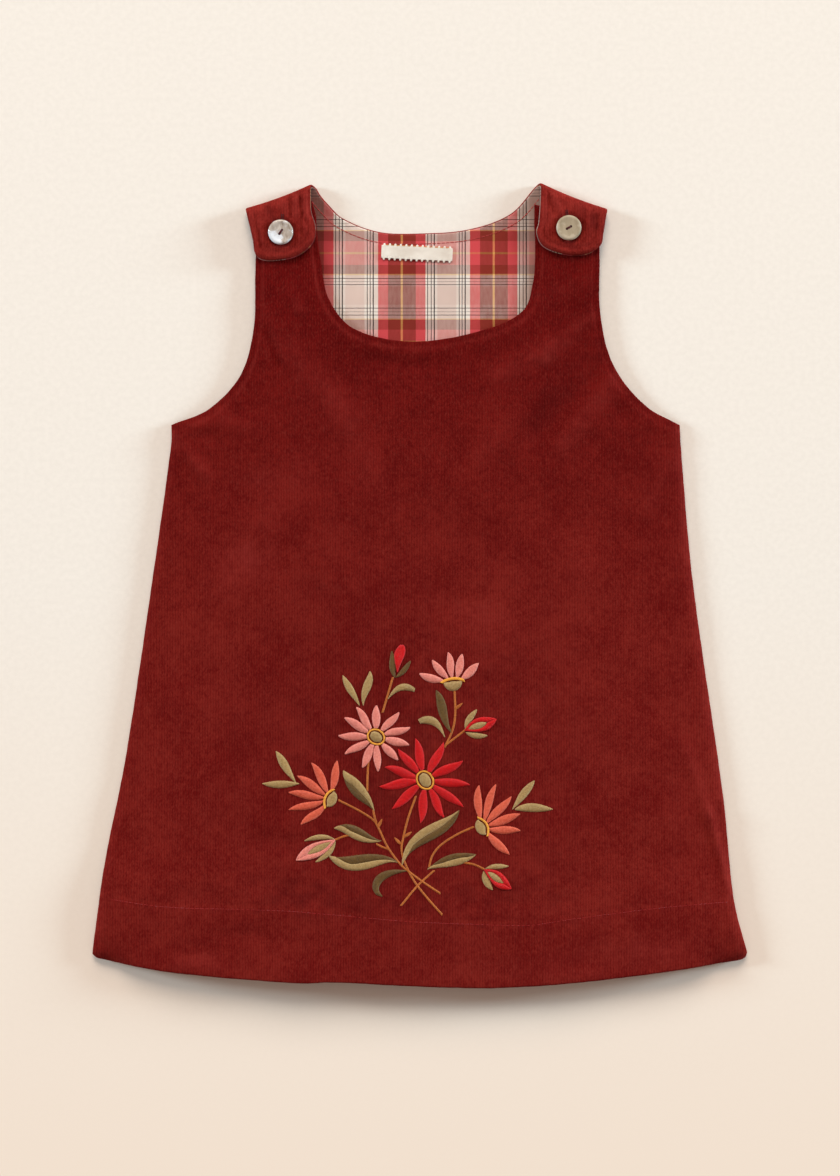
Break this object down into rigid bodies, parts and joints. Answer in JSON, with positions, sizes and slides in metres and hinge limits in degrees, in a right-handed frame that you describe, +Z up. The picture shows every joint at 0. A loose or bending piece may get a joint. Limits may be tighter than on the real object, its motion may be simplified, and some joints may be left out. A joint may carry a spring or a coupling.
{
  "type": "pinafore dress",
  "caption": "Small child's sleeveless A-line corduroy pinafore dress laid flat, check lining in its neck, shoulder straps folded over and buttoned.",
  "frame": {"origin": "under the middle of the dress, on the surface it lies on", "axes": "+X across the dress, +Y from the hem to the neck, +Z up out of the front of the dress"},
  "size_m": [0.3866, 0.4741, 0.0153],
  "materials": {
    "corduroy": "dark red needlecord with fine upright cords and a soft nap",
    "check_cotton": "woven cotton check in red, brown and cream with thin dark and gold lines",
    "ribbon": "cream woven ribbon",
    "shell": "polished grey and cream shell"
  },
  "bodies": {
    "root": {"front_panel": "corduroy", "back_panel": "corduroy", "back_lining": "check_cotton", "label": "ribbon", "button_left": "shell", "button_right": "shell"}
  },
  "joints": []
}
